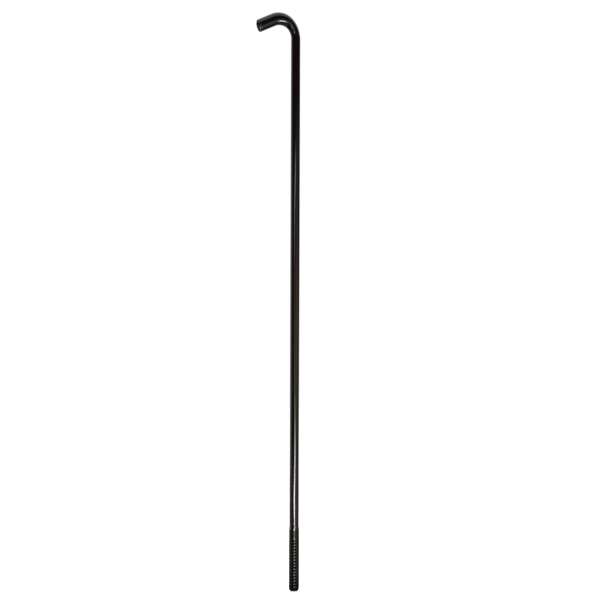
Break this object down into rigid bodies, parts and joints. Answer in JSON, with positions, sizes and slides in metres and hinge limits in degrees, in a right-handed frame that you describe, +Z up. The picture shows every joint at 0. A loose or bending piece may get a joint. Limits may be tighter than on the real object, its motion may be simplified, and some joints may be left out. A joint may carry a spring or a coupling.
{
  "type": "threaded hook stake",
  "caption": "Long slim round bar with a bent hook at the top and a threaded blunt foot, for tying a tent down to the ground.",
  "frame": {"origin": "centre of the flat foot face, at the bottom of the thread", "axes": "+Z up along the straight shank, the hook leans out towards -X, and XZ is the bar's mirror plane"},
  "size_m": [0.0324, 0.009, 0.4064],
  "materials": {
    "black_steel": "thin glossy black coat on steel, duller on the rolled thread"
  },
  "bodies": {
    "root": {"hook_rod": "black_steel"}
  },
  "joints": []
}
